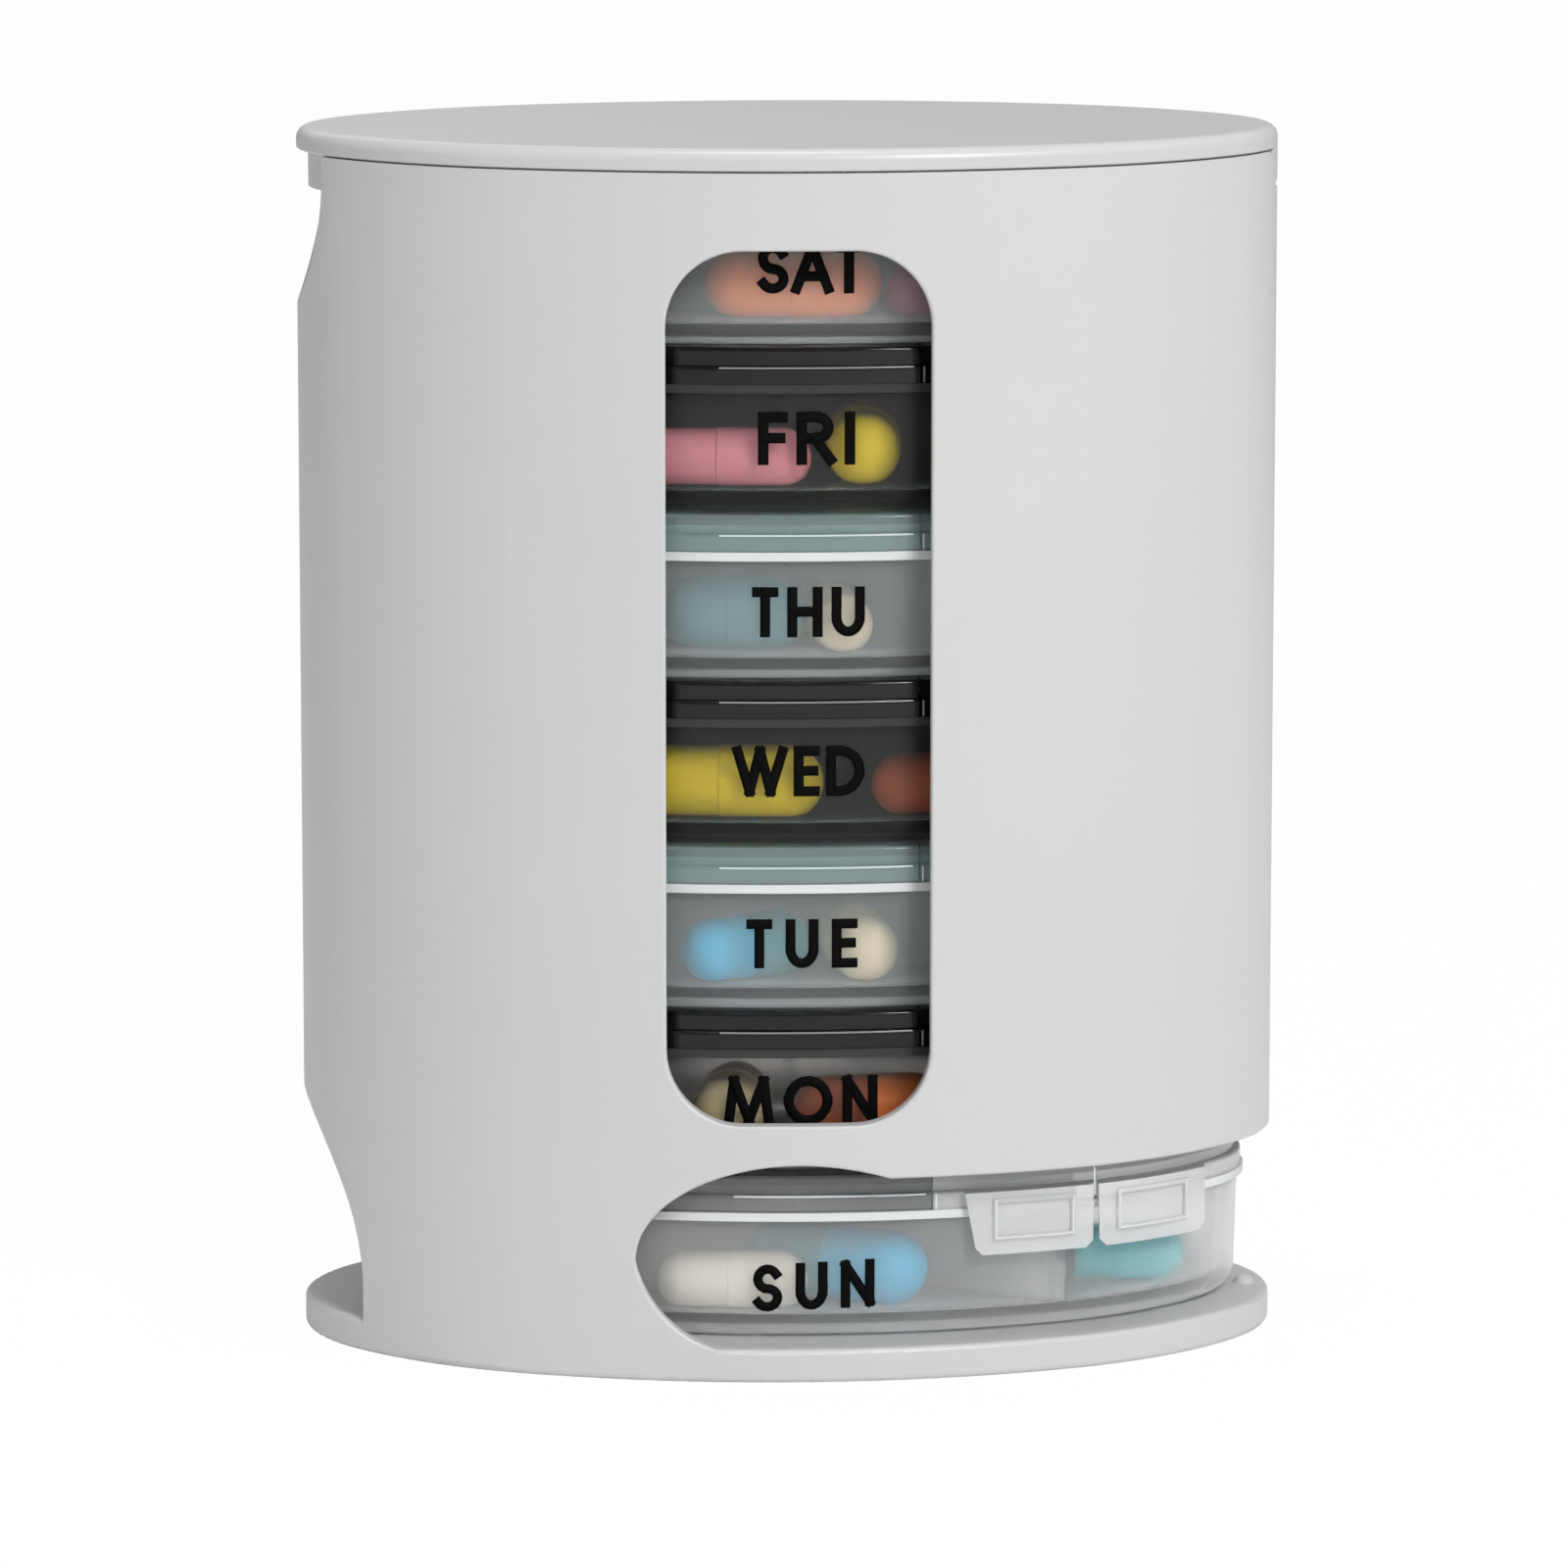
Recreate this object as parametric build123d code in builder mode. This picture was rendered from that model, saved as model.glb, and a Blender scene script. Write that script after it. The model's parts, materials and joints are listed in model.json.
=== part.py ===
"""Weekly pill organizer: an oval tower with a hinged lid and seven stacked oval trays of four compartments.

Origin at the centre of the base's underside, +Z up, +X towards the tray exit, -Y to the window.
"""

from build123d import *
from math import atan, atan2, cos, degrees, hypot, radians, sin, sqrt
import os

# Oval outline of eight arcs, shared by the shell, the base, the lid and, drawn in, by the trays
half_width = 53.75
half_depth = 33.0
shoulder_radius = 44.0
end_turn = 38.0
side_turn = 68.0
overrun = 5.0

# Shell and base
wall = 2.0
base_thickness = 3.7
base_foot_radius = 0.8
base_rim_radius = 0.6
cut_edge_radius = 0.35

# Front window, whose ends lie at shares of the tray pitch above the stack's foot
window_width = 28.4
window_bottom_share = 1.355
window_top_share = 6.59
window_radius = 8.2

# Tray exit: a pointed oval end at the front, a finger bump, then a level edge to the right end
exit_clearance = 0.6
exit_tip_x = -17.6
exit_tip_rise = 9.5
exit_foot_x = -9.0
exit_foot_bulge_x = -15.2
exit_foot_bulge_rise = 4.25
bump_peak_x = 0.2
bump_rise = 1.6
bump_end_x = 9.9
bump_shoulder_x = 5.4
bump_shoulder_rise = 1.1

# Push arch at the lower left end and thumb notch at the upper left end
arch_half_width = 15.1
arch_straight = 3.3
arch_rise = 20.0
notch_half_width = 10.3
notch_straight = 2.45
notch_rise = 14.1

# Retention dome on the base at the exit
dome_radius = 1.3
dome_height = 0.85
dome_inset = 2.6

# Top lid
lid_clearance = 1.2
lid_thickness = 2.4
lid_gap = 0.15
lid_edge_radius = 1.3
lid_under_radius = 0.3
skirt_clearance = 0.3
skirt_thickness = 1.2
skirt_depth = 2.5
skirt_end_x = 36.0
tab_inset = 1.3
tab_thickness = 1.2
tab_half_width = 8.5
tab_drop = 4.05
tab_corner = 1.6

# Lid hinge at the right tip
hinge_inset = 1.9
hinge_drop = 2.1
leaf_half_width = 4.5
leaf_gap = 0.2
leaf_thickness = 2.0
leaf_foot_radius = 2.2
leaf_foot_gap = 0.25
knuckle_radius = 1.2
pin_radius = 0.65
pin_clearance = 0.05
pin_length = 1.2
ear_width = 1.8
ear_relief = 0.2

# Trays
day_names = ["sun", "mon", "tue", "wed", "thu", "fri", "sat"]
tray_gap = 0.15
tray_height = 17.9
tray_clearance = 2.4
sun_offset = 1.5
cup_height = 14.0
flange_overhang = 0.65
flange_thickness = 0.9
cup_draft = 0.4
cup_wall = 1.2
floor_thickness = 1.1
floor_radius = 1.4
foot_recess = 1.1
foot_radius = 2.4
foot_width = 1.6
foot_notch_width = 6.0
divider_thickness = 1.0
divider_reach = 30.0

# Tray covers: a deck with four flaps
cover_inset = 0.3
cover_step = 0.7
cover_step_height = 1.95
cover_edge_radius = 0.4
cover_plate = 1.2
cover_rim = 1.2
cover_gap = 0.15
divider_gap = 0.1
front_flap_start = 13.3
front_flap_end = 31.2
front_flap_hinge_y = -4.0
right_flap_hinge_y = 6.0
film_depth = 0.8

# Latch tabs of the flaps
latch_gap = 0.1
latch_thickness = 0.9
latch_bottom = 8.95
latch_top_drop = 2.0
latch_rim_height = 1.5
latch_corner = 0.8
latch_slant = 1.2
front_latch_start = 16.7
front_latch_end = 31.0
right_latch_start = 31.6
right_latch_end = 44.0
barb_height = 0.75
barb_reach = 0.45
barb_inset = 3.5
frame_line = 0.5
frame_raise = 0.25
frame_side_inset = 2.0
frame_bottom_inset = 1.6
frame_height = 4.6

# Heights and places that follow from the sizes above
tray_pitch = tray_height + tray_gap
stack_bottom = base_thickness + tray_gap
stack_top = stack_bottom + len(day_names) * tray_pitch - tray_gap
lid_under = stack_top + lid_clearance
shell_top = lid_under - lid_gap
height = lid_under + lid_thickness
window_bottom = stack_bottom + window_bottom_share * tray_pitch
window_height = (window_top_share - window_bottom_share) * tray_pitch
exit_top = stack_bottom + tray_height + exit_clearance
hinge_x = half_width - hinge_inset
hinge_z = lid_under - hinge_drop
leaf_slot_half_width = leaf_half_width + leaf_gap
ear_end = leaf_slot_half_width + ear_width
pin_reach = leaf_half_width + pin_length
dome_ball_radius = (dome_radius**2 + dome_height**2) / (2 * dome_height)

# Insets of the trays' ovals from the tower's outline, and heights above a tray's foot
tray_inset = wall + tray_clearance
cup_inset = tray_inset + flange_overhang
cup_foot_inset = cup_inset + cup_draft
cup_taper = degrees(atan(cup_draft / cup_height))
cup_floor = foot_recess + floor_thickness
rim_inset = tray_inset + cover_inset
step_inset = rim_inset + cover_step
pocket_inset = step_inset + cover_rim
plate_under = tray_height - cover_plate
latch_top = tray_height - latch_top_drop
latch_inner_inset = tray_inset - latch_gap
latch_outer_inset = latch_inner_inset - latch_thickness
right_flap_start = front_flap_end + 2 * cover_gap
groove_side = film_depth * sqrt(2)

# Radii of the oval's end and side arcs, which close the outline on both axes
end_turn_cos = cos(radians(end_turn))
end_turn_sin = sin(radians(end_turn))
side_turn_cos = cos(radians(side_turn))
side_turn_sin = sin(radians(side_turn))
width_left = half_width - shoulder_radius * (end_turn_cos - side_turn_cos)
depth_left = half_depth - shoulder_radius * (side_turn_sin - end_turn_sin)
closure = (1 - end_turn_cos) * (1 - side_turn_sin) - side_turn_cos * end_turn_sin
end_radius = (width_left * (1 - side_turn_sin) - depth_left * side_turn_cos) / closure
side_radius = (depth_left * (1 - end_turn_cos) - width_left * end_turn_sin) / closure
shoulder_x = half_width - end_radius + (end_radius - shoulder_radius) * end_turn_cos
shoulder_y = (end_radius - shoulder_radius) * end_turn_sin

os.makedirs("parts", exist_ok=True)


def save(piece, name):
    """Label a finished piece and write it as its own STEP file."""
    piece.label = name
    export_step(piece, f"parts/{name}.step")
    print(name, len(piece.solids()), "solid", round(piece.volume), "mm3")


def oval(inset, mode=Mode.ADD):
    """Draw the tower's oval outline, drawn in by inset, in the active sketch."""
    with BuildLine() as outline:
        CenterArc((half_width - end_radius, 0), end_radius - inset, -end_turn, 2 * end_turn)
        CenterArc((0, half_depth - side_radius), side_radius - inset, side_turn, 180 - 2 * side_turn)
        CenterArc((end_radius - half_width, 0), end_radius - inset, 180 - end_turn, 2 * end_turn)
        CenterArc((0, side_radius - half_depth), side_radius - inset, 180 + side_turn, 180 - 2 * side_turn)
        shoulder_turn = side_turn - end_turn
        CenterArc((shoulder_x, shoulder_y), shoulder_radius - inset, end_turn, shoulder_turn)
        CenterArc((-shoulder_x, shoulder_y), shoulder_radius - inset, 180 - side_turn, shoulder_turn)
        CenterArc((-shoulder_x, -shoulder_y), shoulder_radius - inset, 180 + end_turn, shoulder_turn)
        CenterArc((shoulder_x, -shoulder_y), shoulder_radius - inset, -side_turn, shoulder_turn)
    make_face(outline.edges(), mode=mode)


def half_oval_profile(half_span, level, rise, straight_end, start_angle):
    """Draw straight sides from level to straight_end, closed by a half oval that starts at start_angle."""
    with BuildLine() as outline:
        Line((half_span, level), (half_span, straight_end))
        Line((half_span, straight_end), (-half_span, straight_end))
        Line((-half_span, straight_end), (-half_span, level))
        EllipticalCenterArc((0, level), half_span, rise, start_angle=start_angle, arc_size=180)
    make_face(outline.edges())


def inset_at(point):
    """Measure how far inside the tower's oval outline a point lies."""
    across = abs(point.X)
    along = abs(point.Y)
    for middle_x, middle_y, radius, last_turn in (
        (half_width - end_radius, 0, end_radius, end_turn),
        (shoulder_x, shoulder_y, shoulder_radius, side_turn),
        (0, half_depth - side_radius, side_radius, 90),
    ):
        if degrees(atan2(along - middle_y, across - middle_x)) <= last_turn:
            return radius - hypot(across - middle_x, along - middle_y)


def outside_edges(edges, bottom, top):
    """Pick the edges of a cut that lie on the shell's outer face between two heights."""
    return [edge for edge in edges if inset_at(edge @ 0.5) < wall / 2 and bottom < (edge @ 0.5).Z < top]


# Base plate with rounded rims and the retention dome at the exit
with BuildPart() as base_plate:
    with BuildSketch():
        oval(0)
    extrude(amount=base_thickness)
    fillet(base_plate.edges().group_by(Axis.Z)[0], base_foot_radius)
    fillet(base_plate.edges().group_by(Axis.Z)[-1], base_rim_radius)
    with Locations((half_width - dome_inset, 0, base_thickness + dome_height - dome_ball_radius)):
        Sphere(dome_ball_radius)

# Hinge ears: lugs on the inside of the wall, beside the hinge leaf
with BuildPart() as ears:
    with BuildSketch(Plane.XZ):
        with Locations((hinge_x, hinge_z)):
            Circle(knuckle_radius)
        with Locations((hinge_x, hinge_z - knuckle_radius)):
            Rectangle(2 * knuckle_radius, 2 * knuckle_radius)
    extrude(amount=ear_end, both=True)
    with BuildSketch(Plane.XZ):
        with Locations((hinge_x, hinge_z)):
            Rectangle(overrun * 2, overrun * 3)
    extrude(amount=leaf_slot_half_width, both=True, mode=Mode.SUBTRACT)
    with BuildSketch():
        oval(wall / 2)
    extrude(amount=height, mode=Mode.INTERSECT)

# Tower: shell with integral base plate
with BuildPart() as tower:
    with BuildSketch():
        oval(0)
    extrude(amount=shell_top)
    fillet(tower.edges().group_by(Axis.Z)[0], base_foot_radius)
    with BuildSketch(Plane.XY.offset(-overrun)):
        oval(wall)
    extrude(amount=shell_top + 2 * overrun, mode=Mode.SUBTRACT)

    # Window through the front wall
    with BuildSketch(Plane.XZ):
        with Locations((0, window_bottom + window_height / 2)):
            RectangleRounded(window_width, window_height, window_radius)
    extrude(amount=half_depth + overrun, mode=Mode.SUBTRACT)
    fillet(outside_edges(tower.edges(Select.LAST), 0, shell_top), cut_edge_radius)

    # Tray exit through the front, the right end and the back
    with BuildSketch(Plane.XZ):
        with BuildLine():
            exit_tip = (exit_tip_x, base_thickness + exit_tip_rise)
            bump_peak = (bump_peak_x, exit_top + bump_rise)
            EllipticalCenterArc(
                (bump_peak_x, base_thickness + exit_tip_rise),
                bump_peak_x - exit_tip_x,
                exit_top + bump_rise - base_thickness - exit_tip_rise,
                start_angle=90,
                arc_size=90,
            )
            ThreePointArc(bump_peak, (bump_shoulder_x, exit_top + bump_shoulder_rise), (bump_end_x, exit_top))
            Line((bump_end_x, exit_top), (half_width + overrun, exit_top))
            Line((half_width + overrun, exit_top), (half_width + overrun, -overrun))
            Line((half_width + overrun, -overrun), (exit_foot_x, -overrun))
            Line((exit_foot_x, -overrun), (exit_foot_x, base_thickness))
            ThreePointArc(
                (exit_foot_x, base_thickness),
                (exit_foot_bulge_x, base_thickness + exit_foot_bulge_rise),
                exit_tip,
            )
        make_face()
    extrude(amount=half_depth + overrun, both=True, mode=Mode.SUBTRACT)
    fillet(outside_edges(tower.edges(Select.LAST), base_thickness, shell_top), cut_edge_radius)

    # Push arch at the lower left end
    with BuildSketch(Plane.YZ):
        half_oval_profile(arch_half_width, base_thickness + arch_straight, arch_rise, -overrun, 0)
    extrude(amount=-half_width - overrun, mode=Mode.SUBTRACT)
    fillet(outside_edges(tower.edges(Select.LAST), base_thickness, shell_top), cut_edge_radius)

    # Thumb notch at the upper left end, an arch turned upside down
    with BuildSketch(Plane.YZ):
        half_oval_profile(notch_half_width, shell_top - notch_straight, notch_rise, shell_top + overrun, 180)
    extrude(amount=-half_width - overrun, mode=Mode.SUBTRACT)
    fillet(outside_edges(tower.edges(Select.LAST), base_thickness, shell_top), cut_edge_radius)

    # Slot for the hinge leaf, open outwards for the leaf as it swings down, and the wall's top
    # rounded about the hinge axis beside it
    with BuildSketch(Plane.XZ):
        with Locations((hinge_x, hinge_z)):
            Circle(leaf_foot_radius + leaf_foot_gap)
            with Locations((0, overrun / 2)):
                Rectangle(2 * (leaf_foot_radius + leaf_foot_gap), overrun)
            with Locations((overrun / 2, 0)):
                Rectangle(overrun, 2 * (leaf_foot_radius + leaf_foot_gap))
    extrude(amount=leaf_slot_half_width, both=True, mode=Mode.SUBTRACT)
    with BuildSketch(Plane.XZ):
        with Locations((hinge_x + overrun / 2, hinge_z + overrun / 2)):
            Rectangle(overrun, overrun)
        with Locations((hinge_x, hinge_z)):
            Circle(hinge_drop - ear_relief, mode=Mode.SUBTRACT)
    extrude(amount=ear_end + ear_width, both=True, mode=Mode.SUBTRACT)
    add(ears.part)
    with BuildSketch(Plane.XZ):
        with Locations((hinge_x, hinge_z)):
            Circle(pin_radius + pin_clearance)
    extrude(amount=pin_reach + leaf_gap, both=True, mode=Mode.SUBTRACT)
    add(base_plate.part)
save(tower.part, "tower")

# Thumb tab of the lid: a piece of the wall's oval with rounded lower corners
with BuildPart() as thumb_tab:
    with BuildSketch(Plane.XY.offset(lid_under - tab_drop)):
        oval(tab_inset)
        oval(tab_inset + tab_thickness, mode=Mode.SUBTRACT)
        with Locations((-half_width, 0)):
            Rectangle(half_width, 2 * tab_half_width, mode=Mode.INTERSECT)
    extrude(amount=tab_drop + lid_thickness / 2)
    fillet(thumb_tab.edges().filter_by(Axis.X).group_by(Axis.Z)[0], tab_corner)

# Lid plate with the thumb tab and the locating skirt
with BuildPart() as lid_plate:
    with BuildSketch(Plane.XY.offset(lid_under)):
        oval(0)
    extrude(amount=lid_thickness)
    fillet(lid_plate.edges().group_by(Axis.Z)[-1], lid_edge_radius)
    fillet(lid_plate.edges().group_by(Axis.Z)[0], lid_under_radius)
    add(thumb_tab.part)

    # Locating skirt, open at the thumb tab and at the hinge
    with BuildSketch(Plane.XY.offset(lid_under - skirt_depth)):
        oval(wall + skirt_clearance)
        oval(wall + skirt_clearance + skirt_thickness, mode=Mode.SUBTRACT)
        with Locations(((skirt_end_x - half_width) / 2, 0)):
            Rectangle(skirt_end_x + half_width, 2 * half_depth, mode=Mode.INTERSECT)
        with Locations((-half_width, 0)):
            Rectangle(half_width, 2 * notch_half_width, mode=Mode.SUBTRACT)
    extrude(amount=skirt_depth + lid_thickness / 2)

# Hinge leaf of the lid: a piece of the wall's oval, rounded about the hinge axis, with two stub pins
with BuildPart() as hinge_leaf:
    with BuildSketch(Plane.XY.offset(hinge_z - leaf_foot_radius)):
        oval(0)
        oval(leaf_thickness, mode=Mode.SUBTRACT)
        with Locations((half_width, 0)):
            Rectangle(half_width, 2 * leaf_half_width, mode=Mode.INTERSECT)
    extrude(amount=lid_under + lid_thickness / 2 - hinge_z + leaf_foot_radius)
    with BuildSketch(Plane.XZ):
        with Locations((hinge_x, hinge_z)):
            Circle(leaf_foot_radius)
            with Locations((0, overrun / 2)):
                Rectangle(2 * leaf_foot_radius, overrun)
    extrude(amount=half_depth, both=True, mode=Mode.INTERSECT)
    with BuildSketch(Plane.XZ):
        with Locations((hinge_x, hinge_z)):
            Circle(knuckle_radius)
            with Locations((0, knuckle_radius)):
                Rectangle(2 * knuckle_radius, 2 * knuckle_radius)
    extrude(amount=leaf_half_width, both=True)
    with BuildSketch(Plane.XZ):
        with Locations((hinge_x, hinge_z)):
            Circle(pin_radius)
    extrude(amount=pin_reach, both=True)

# Top lid in one moulding
with BuildPart() as top_lid:
    add(lid_plate.part)
    add(hinge_leaf.part)
save(top_lid.part, "top_lid")

# Inside of a cup, with a rounded floor edge
with BuildPart() as cup_pocket:
    with BuildSketch(Plane.XY.offset(cup_floor)):
        oval(cup_foot_inset + cup_wall)
    extrude(amount=cup_height, taper=-cup_taper)
    fillet(cup_pocket.edges().group_by(Axis.Z)[0], floor_radius)

# Tray cup: tapered oval cup with a foot ring, a flange and an X-shaped divider
with BuildPart() as cup:
    with BuildSketch():
        oval(cup_foot_inset)
    extrude(amount=cup_height, taper=-cup_taper)
    fillet(cup.edges().group_by(Axis.Z)[0], foot_radius)
    add(cup_pocket.part, mode=Mode.SUBTRACT)

    # Recess inside the foot ring, and the notches at both tips that let the base's dome through
    with BuildSketch():
        oval(cup_foot_inset + foot_radius + foot_width)
        Rectangle(2 * half_width, foot_notch_width)
    extrude(amount=foot_recess, mode=Mode.SUBTRACT)

    # Flange
    with BuildSketch(Plane.XY.offset(cup_height - flange_thickness)):
        oval(tray_inset)
        oval(cup_inset + cup_wall / 2, mode=Mode.SUBTRACT)
    extrude(amount=flange_thickness)

    # Divider, in the cup and above it under the cover
    divider_reach_y = (half_depth - cup_inset) * sqrt(1 - (divider_reach / (half_width - cup_inset)) ** 2)
    divider_angle = degrees(atan(divider_reach_y / divider_reach))
    for level, inset, rise in (
        (cup_floor - floor_thickness / 2, cup_inset + cup_wall / 2, cup_height),
        (cup_height - floor_thickness / 2, pocket_inset + cover_gap, plate_under - divider_gap),
    ):
        with BuildSketch(Plane.XY.offset(level)):
            with Locations(*[Location((0, 0, 0), (0, 0, turn)) for turn in (divider_angle, -divider_angle)]):
                Rectangle(2 * half_width, divider_thickness)
            oval(inset, mode=Mode.INTERSECT)
        extrude(amount=rise - level)

# Whole tray cover, before it is divided into a deck and four flaps
with BuildPart() as cover:
    with BuildSketch(Plane.XY.offset(cup_height)):
        oval(rim_inset)
    extrude(amount=tray_height - cover_step_height - cup_height)
    fillet(cover.edges().group_by(Axis.Z)[-1], cover_edge_radius)
    with BuildSketch(Plane.XY.offset(cup_height)):
        oval(step_inset)
    extrude(amount=tray_height - cup_height)
    fillet(cover.edges().group_by(Axis.Z)[-1], cover_edge_radius)
    with BuildSketch(Plane.XY.offset(cup_height)):
        oval(pocket_inset)
    extrude(amount=plate_under - cup_height, mode=Mode.SUBTRACT)


def latch(start, end, slant):
    """Make a latch tab on the front of a flap, from start to end along X, with its raised frame and barb."""
    with BuildPart() as tab:
        with BuildSketch(Plane.XY.offset(latch_bottom)) as band:
            oval(latch_outer_inset)
            oval(latch_inner_inset, mode=Mode.SUBTRACT)
        extrude(band.sketch, amount=latch_top - latch_bottom)
        with BuildSketch(Plane.XY.offset(latch_top - latch_rim_height)) as rim:
            oval(latch_outer_inset)
            oval(step_inset, mode=Mode.SUBTRACT)
        extrude(rim.sketch, amount=latch_rim_height)
        with BuildSketch(Plane.XZ) as outline:
            with BuildLine() as edge:
                Polyline(
                    (start, latch_top),
                    (start + slant, latch_bottom + latch_corner),
                    (start + slant + latch_corner, latch_bottom),
                    (end - latch_corner, latch_bottom),
                    (end, latch_bottom + latch_corner),
                    (end, latch_top),
                    close=True,
                )
            make_face(edge.edges())
        extrude(outline.sketch, amount=half_depth, mode=Mode.INTERSECT)
    with BuildPart() as frame:
        with BuildSketch(Plane.XY.offset(latch_bottom)) as raised:
            oval(latch_outer_inset - frame_raise)
            oval(latch_inner_inset, mode=Mode.SUBTRACT)
        extrude(raised.sketch, amount=latch_top - latch_bottom)
        with BuildSketch(Plane.XZ) as border:
            frame_width = end - start - slant - 2 * frame_side_inset
            frame_middle = ((start + slant + end) / 2, latch_bottom + frame_bottom_inset + frame_height / 2)
            with Locations(frame_middle):
                Rectangle(frame_width, frame_height)
                Rectangle(frame_width - 2 * frame_line, frame_height - 2 * frame_line, mode=Mode.SUBTRACT)
        extrude(border.sketch, amount=half_depth, mode=Mode.INTERSECT)
    with BuildPart() as barb:
        with BuildSketch(Plane.XY.offset(cup_height - flange_thickness - latch_gap - barb_height)) as hook:
            oval(latch_inner_inset - latch_thickness / 2)
            oval(latch_inner_inset + barb_reach, mode=Mode.SUBTRACT)
            with Locations(((start + end) / 2, -half_depth)):
                Rectangle(end - start - 2 * barb_inset, 2 * half_depth, mode=Mode.INTERSECT)
        extrude(hook.sketch, amount=barb_height)
    with BuildPart() as whole:
        add(tab.part)
        add(frame.part)
        add(barb.part)
    return whole.part


def film_groove(start, end, line_y):
    """Make the V-groove that thins the cover to a film hinge along X."""
    with BuildPart() as groove:
        with Locations(((start + end) / 2, line_y, tray_height)):
            Box(end - start, groove_side, groove_side, rotation=(45, 0, 0))
    return groove.part


def flap_field(start, end, hinge_y):
    """Make the block that a flap takes up in the cover, from its hinge line to the front edge."""
    with BuildPart() as field:
        with BuildSketch() as plan:
            with Locations(((start + end) / 2, hinge_y - half_depth)):
                Rectangle(end - start, 2 * half_depth)
        extrude(plan.sketch, amount=tray_height + overrun)
    return field.part


def flap(field, groove, tab):
    """Cut one flap out of the cover, thin its hinge line and add its latch tab."""
    with BuildPart() as piece:
        add(cover.part)
        add(field, mode=Mode.INTERSECT)
        add(groove, mode=Mode.SUBTRACT)
        add(tab)
    return piece.part


# Front flap, the same as the back flap after half a turn
front_flap = flap(
    flap_field(front_flap_start, front_flap_end, front_flap_hinge_y),
    film_groove(front_flap_start, front_flap_end, front_flap_hinge_y),
    latch(front_latch_start, front_latch_end, latch_slant),
)

# Right flap, the same as the left flap after half a turn
right_flap = flap(
    flap_field(right_flap_start, half_width, right_flap_hinge_y),
    film_groove(right_flap_start, half_width, right_flap_hinge_y),
    latch(right_latch_start, right_latch_end, cover_gap),
)

# Deck: the cover without the fields of its four flaps
deck_cuts = (
    flap_field(front_flap_start - cover_gap, front_flap_end + cover_gap, front_flap_hinge_y),
    flap_field(front_flap_end + cover_gap, half_width, right_flap_hinge_y),
    film_groove(front_flap_start - cover_gap, front_flap_end + cover_gap, front_flap_hinge_y),
    film_groove(front_flap_end + cover_gap, half_width, right_flap_hinge_y),
)
with BuildPart() as deck:
    add(cover.part)
    for half_turn in (0, 180):
        with Locations(Location((0, 0, 0), (0, 0, half_turn))):
            for deck_cut in deck_cuts:
                add(deck_cut, mode=Mode.SUBTRACT)

# The seven trays, Sunday's lowest and pushed against the dome
for level, day in enumerate(day_names):
    tray_x = sun_offset if level == 0 else 0
    seat = Location((tray_x, 0, stack_bottom + level * tray_pitch))
    turned_seat = seat * Location((0, 0, 0), (0, 0, 180))
    for name, piece, place in (
        ("tray", cup.part, seat),
        ("deck", deck.part, seat),
        ("flap_front", front_flap, seat),
        ("flap_right", right_flap, seat),
        ("flap_back", front_flap, turned_seat),
        ("flap_left", right_flap, turned_seat),
    ):
        with BuildPart() as tray_piece:
            with Locations(place):
                add(piece)
        save(tray_piece.part, f"{day}_{name}")
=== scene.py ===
"""Looks of the weekly pill organizer: finishes, day names, edges and ridges with painted highlights, capsules, stage
and camera.

Sizes are in millimetres in the fields and become metres through MM where a mesh, an object or a node is made.
"""

import json
import logging
from dataclasses import dataclass, field
from enum import Enum
from math import cos, pi, radians, sin, tan

import bmesh
import bpy
from mathutils import Euler, Matrix, Vector

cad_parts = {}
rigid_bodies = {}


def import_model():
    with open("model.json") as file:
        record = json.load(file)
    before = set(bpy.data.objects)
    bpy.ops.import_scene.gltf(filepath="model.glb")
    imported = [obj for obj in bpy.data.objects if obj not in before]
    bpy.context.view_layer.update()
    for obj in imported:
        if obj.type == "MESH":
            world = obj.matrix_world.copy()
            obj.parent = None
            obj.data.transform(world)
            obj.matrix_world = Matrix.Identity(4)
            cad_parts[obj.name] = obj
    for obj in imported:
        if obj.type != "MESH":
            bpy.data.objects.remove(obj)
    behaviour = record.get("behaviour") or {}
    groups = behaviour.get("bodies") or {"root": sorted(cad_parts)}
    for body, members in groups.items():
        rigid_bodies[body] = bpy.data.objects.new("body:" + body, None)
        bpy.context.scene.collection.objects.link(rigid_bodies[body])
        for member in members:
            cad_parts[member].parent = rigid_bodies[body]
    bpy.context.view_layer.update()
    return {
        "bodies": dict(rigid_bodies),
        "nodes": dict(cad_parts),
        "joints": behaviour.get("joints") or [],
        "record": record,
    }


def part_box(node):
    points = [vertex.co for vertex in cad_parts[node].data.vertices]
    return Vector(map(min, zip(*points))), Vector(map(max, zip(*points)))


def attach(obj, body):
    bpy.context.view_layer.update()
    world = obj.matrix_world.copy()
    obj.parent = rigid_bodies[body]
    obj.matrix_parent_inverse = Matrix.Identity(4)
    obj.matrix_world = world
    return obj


LOG = logging.getLogger("pill_organizer")
MM = 0.001

# The tower's oval outline from above: the radius of its long front arc, half its depth, and how far behind
# the oval's middle that arc's centre lies.
SIDE_RADIUS = 82.73
HALF_DEPTH = 33.0
SIDE_MIDDLE_Y = SIDE_RADIUS - HALF_DEPTH

FLAP_SIDES = ("front", "right", "back", "left")
TAB_SIDES = ("front", "right")

Color = tuple[float, float, float]
Stroke = list[tuple[float, float]]


class Tone(Enum):
    """The plastics that the trays are moulded in, the milky one a more frosted moulding of the clear one."""

    MILKY = "milky"
    CLEAR = "clear"
    SMOKE = "smoke"

    @property
    def slot(self) -> str:
        """Name the record's material slot for this tone.

        Returns:
            The slot's name.
        """
        return "tray_smoke" if self is Tone.SMOKE else "tray_clear"


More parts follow.
